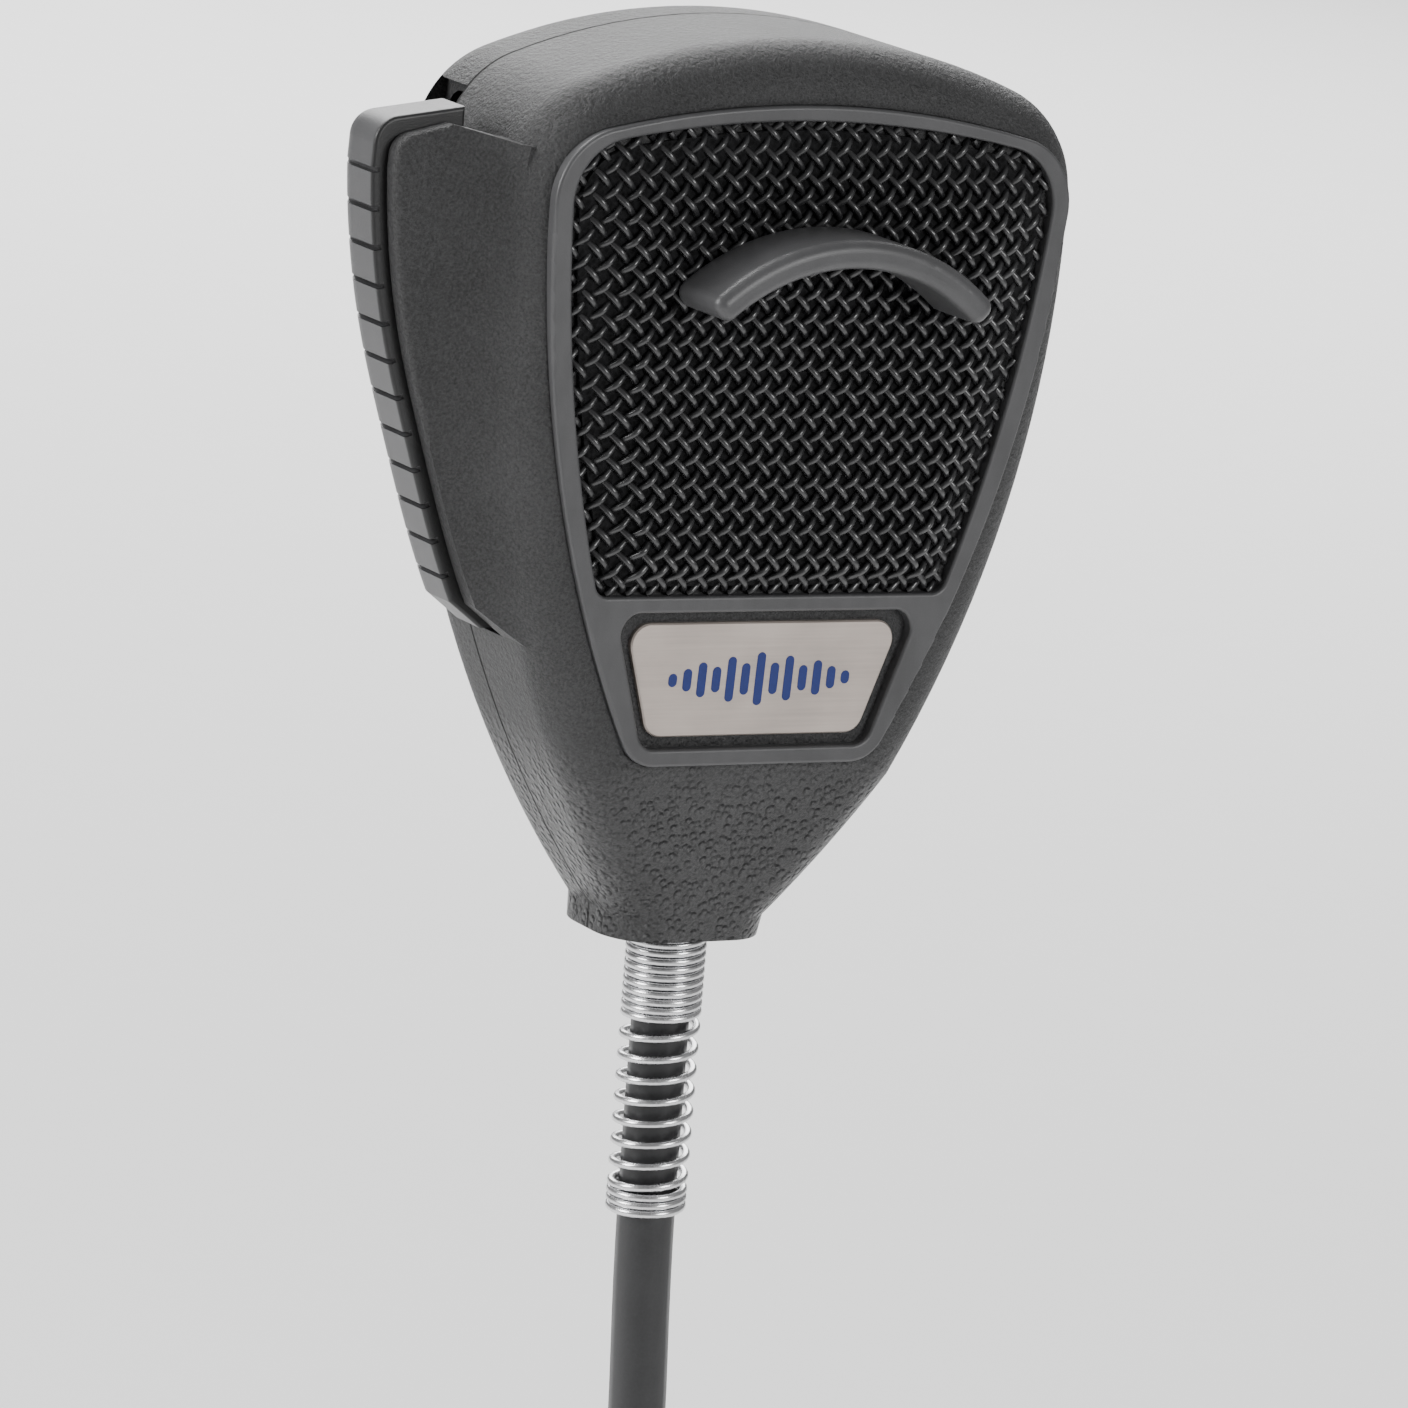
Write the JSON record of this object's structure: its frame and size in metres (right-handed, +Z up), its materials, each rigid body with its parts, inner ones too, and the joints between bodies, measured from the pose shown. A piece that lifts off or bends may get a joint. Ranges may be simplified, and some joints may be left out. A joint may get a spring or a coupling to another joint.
{
  "type": "hand microphone",
  "caption": "Hand-held radio microphone with a wire grille, talk lever, hanger button, spring strain relief and curly cord with a round plug.",
  "frame": {"origin": "root of the hanger button's neck on the flat pad at the back of the body, where a clip holds the microphone", "axes": "+Z up along the body towards its crown, cord hanging down; +Y out of the back along the hanger button; the grille faces -Y"},
  "size_m": [0.1411, 0.0407, 0.363],
  "materials": {
    "shell_plastic": "fine grained moulded ABS, black",
    "trim_plastic": "smooth satin moulded plastic, charcoal",
    "wire_mesh": "black coated woven wire",
    "foam": "open-cell acoustic foam, black",
    "plate": "warm brushed aluminium with a blue printed symbol",
    "steel": "bright nickel-plated steel",
    "chrome": "bright plated metal",
    "switch_plastic": "glass-filled switch plastic, black",
    "plunger": "red acetal",
    "brass": "plated brass",
    "copper": "enamelled copper winding",
    "film": "thin polyester film",
    "magnet": "sintered magnet",
    "board": "phenolic board",
    "insulation": "coloured wire insulation",
    "rubber": "soft black rubber",
    "cord_jacket": "semi-gloss black cord jacket",
    "strap": "black hook-and-loop strap"
  },
  "bodies": {
    "microphone": {"front_housing": "shell_plastic", "rear_cover": "shell_plastic", "grille_bezel": "trim_plastic", "lip_guard": "trim_plastic", "grille_mesh": "wire_mesh", "grille_foam": "foam", "nameplate": "plate", "relief_spring": "steel", "ptt_pivot_pin": "steel", "housing_screws": "steel", "switch_screws": "steel", "board_screws": "steel", "hanger_screw": "steel", "hanger_nut": "steel", "hanger_button": "steel", "cord_crimp": "steel", "plug_clamp": "steel", "pole_plate": "steel", "cartridge_case": "steel", "cartridge_cap": "steel", "plug_shell": "chrome", "switch_case": "switch_plastic", "switch_cover": "switch_plastic", "plug_insert": "switch_plastic", "switch_blade": "brass", "switch_terminals": "brass", "terminal_lugs": "brass", "plug_contacts": "brass", "voice_coil": "copper", "diaphragm": "film", "magnet": "magnet", "terminal_board": "board", "conductors": "insulation", "cartridge_boot": "rubber", "cord_lead": "cord_jacket", "cord_curl": "cord_jacket", "cord_tail": "cord_jacket", "cord_tie": "strap"},
    "lever": {"ptt_lever": "trim_plastic", "ptt_return_spring": "steel"},
    "plunger": {"switch_plunger": "plunger"},
    "plug_ring": {"coupling_ring": "chrome"}
  },
  "joints": [
    {"name": "talk_lever", "type": "hinge", "parent": "microphone", "child": "lever", "pos_m": [-0.02, -0.0131, -0.0135], "axis": [0, 1, 0], "range_deg": [0, 3.6], "stiffness_Nm_per_rad": 0.6, "springref_deg": -5.73},
    {"name": "switch_plunger_slide", "type": "slide", "parent": "microphone", "child": "plunger", "axis": [1, 0, 0], "range_m": [0, 0.00085]},
    {"name": "coupling_ring_turn", "type": "hinge", "parent": "microphone", "child": "plug_ring", "pos_m": [0.0885, -0.0025, -0.2277], "axis": [0, 0, 1], "continuous": true}
  ],
  "couplings": [
    {"joint": "switch_plunger_slide", "follows": "talk_lever", "m_per_rad": 0.0135}
  ]
}
